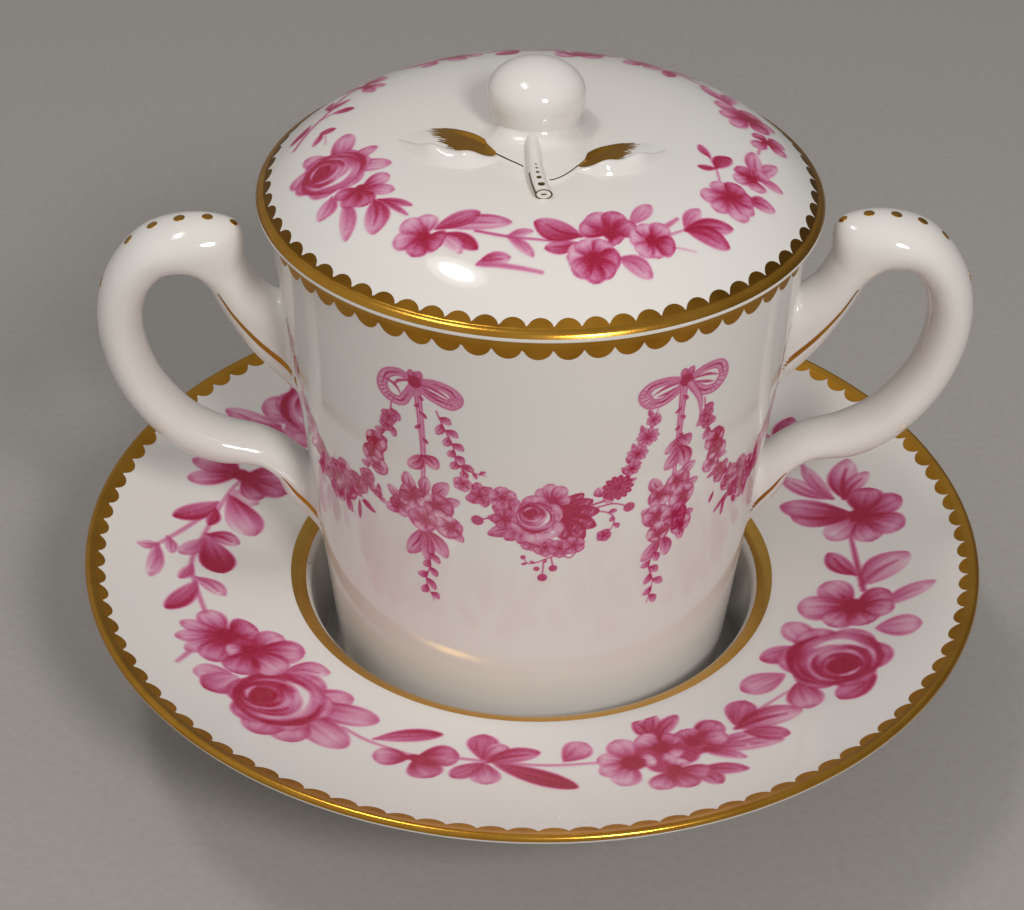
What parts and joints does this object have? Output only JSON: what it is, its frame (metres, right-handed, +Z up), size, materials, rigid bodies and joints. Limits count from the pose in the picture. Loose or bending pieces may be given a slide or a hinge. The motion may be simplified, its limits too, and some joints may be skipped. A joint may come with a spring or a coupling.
{
  "type": "trembleuse cup",
  "caption": "Covered porcelain cup with ear-shaped handles, standing in the deep well of its saucer; the domed lid with a bud knob and the cup lift off.",
  "frame": {"origin": "centre of the saucer's foot ring, on the table", "axes": "+Z up; the handles lie along X; the lid's stalk points to the front, -Y"},
  "size_m": [0.155, 0.155, 0.1235],
  "materials": {
    "porcelain": "clear glossy glaze over white porcelain",
    "enamel": "pink enamel painting of flowers, fired on the glaze",
    "gilding": "fired gilding, burnished on the edges and matt in the scallops"
  },
  "bodies": {
    "saucer": {"saucer": "porcelain"},
    "cup": {"cup_body": "porcelain", "handle_left": "porcelain", "handle_right": "porcelain"},
    "lid": {"lid": "porcelain", "finial_bud": "porcelain", "finial_stalk": "porcelain", "finial_leaf_left": "porcelain", "finial_leaf_right": "porcelain"}
  },
  "joints": [
    {"name": "cup_lift", "type": "slide", "parent": "saucer", "child": "cup", "axis": [0, 0, 1], "range_m": [0, 0.06]},
    {"name": "lid_lift", "type": "slide", "parent": "cup", "child": "lid", "axis": [0, 0, 1], "range_m": [0, 0.04]}
  ]
}
